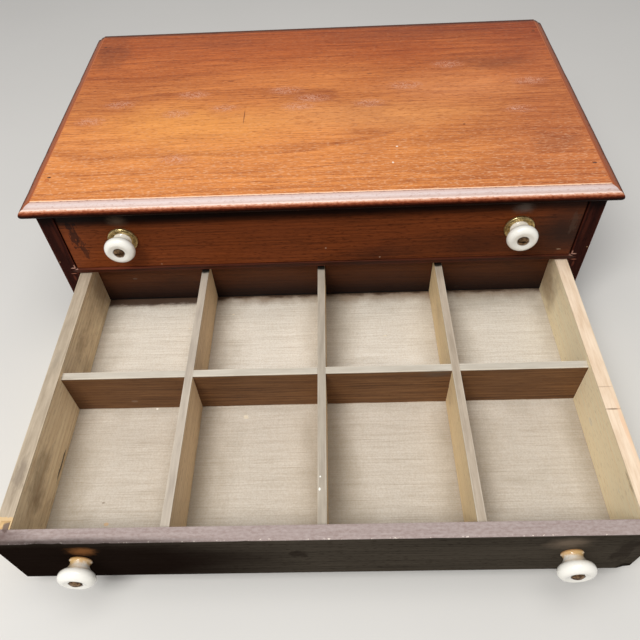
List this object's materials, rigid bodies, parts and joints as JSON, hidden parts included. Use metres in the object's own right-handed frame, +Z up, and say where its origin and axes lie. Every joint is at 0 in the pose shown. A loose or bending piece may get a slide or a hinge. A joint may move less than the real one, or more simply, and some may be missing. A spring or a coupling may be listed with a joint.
{
  "type": "sewing box with drawers",
  "caption": "Low table-top sewing cabinet with a moulded top and stacked drawers, each divided into compartments and fitted with china knobs.",
  "frame": {"origin": "centre of the case's bottom face, where it stands", "axes": "+X to the right seen from the front, the drawers open towards -Y, +Z up"},
  "size_m": [0.566, 0.6346, 0.197],
  "materials": {
    "show_wood": "aged polish, satin",
    "dark_wood": "dark stained, dull",
    "drawer_side_wood": "bare wood, matt",
    "panel_wood": "thin bare wood, matt",
    "case_wood": "bare wood, matt",
    "china": "glazed, gloss",
    "brass": "aged, satin",
    "steel": "dull, slightly rusted"
  },
  "bodies": {
    "case": {"top_board": "show_wood", "bottom_board": "show_wood", "left_side": "show_wood", "right_side": "show_wood", "back_board": "case_wood", "drawer_rail": "show_wood", "dust_board": "case_wood", "upper_drawer_stops": "case_wood", "lower_drawer_stops": "case_wood", "top_screws": "steel", "bottom_screws": "steel", "top_plugs": "dark_wood", "back_brads": "steel"},
    "upper_drawer": {"upper_drawer_front": "show_wood", "upper_left_drawer_side": "drawer_side_wood", "upper_right_drawer_side": "drawer_side_wood", "upper_drawer_back": "dark_wood", "upper_drawer_bottom": "panel_wood", "upper_left_divider": "drawer_side_wood", "upper_middle_divider": "drawer_side_wood", "upper_right_divider": "drawer_side_wood", "upper_cross_divider": "dark_wood", "upper_drawer_brads": "steel", "upper_left_knob": "china", "upper_right_knob": "china", "upper_left_knob_screw": "steel", "upper_right_knob_screw": "steel", "upper_left_backplate": "brass", "upper_right_backplate": "brass"},
    "lower_drawer": {"lower_drawer_front": "show_wood", "lower_left_drawer_side": "drawer_side_wood", "lower_right_drawer_side": "drawer_side_wood", "lower_drawer_back": "dark_wood", "lower_drawer_bottom": "panel_wood", "lower_left_divider": "drawer_side_wood", "lower_middle_divider": "drawer_side_wood", "lower_right_divider": "drawer_side_wood", "lower_cross_divider": "dark_wood", "lower_drawer_brads": "steel", "lower_left_knob": "china", "lower_right_knob": "china", "lower_left_knob_screw": "steel", "lower_right_knob_screw": "steel"}
  },
  "joints": [
    {"name": "upper_drawer_slide", "type": "slide", "parent": "case", "child": "upper_drawer", "axis": [0, -1, 0], "range_m": [0, 0.302]},
    {"name": "lower_drawer_slide", "type": "slide", "parent": "case", "child": "lower_drawer", "axis": [0, -1, 0], "range_m": [-0.292, 0.01]}
  ]
}
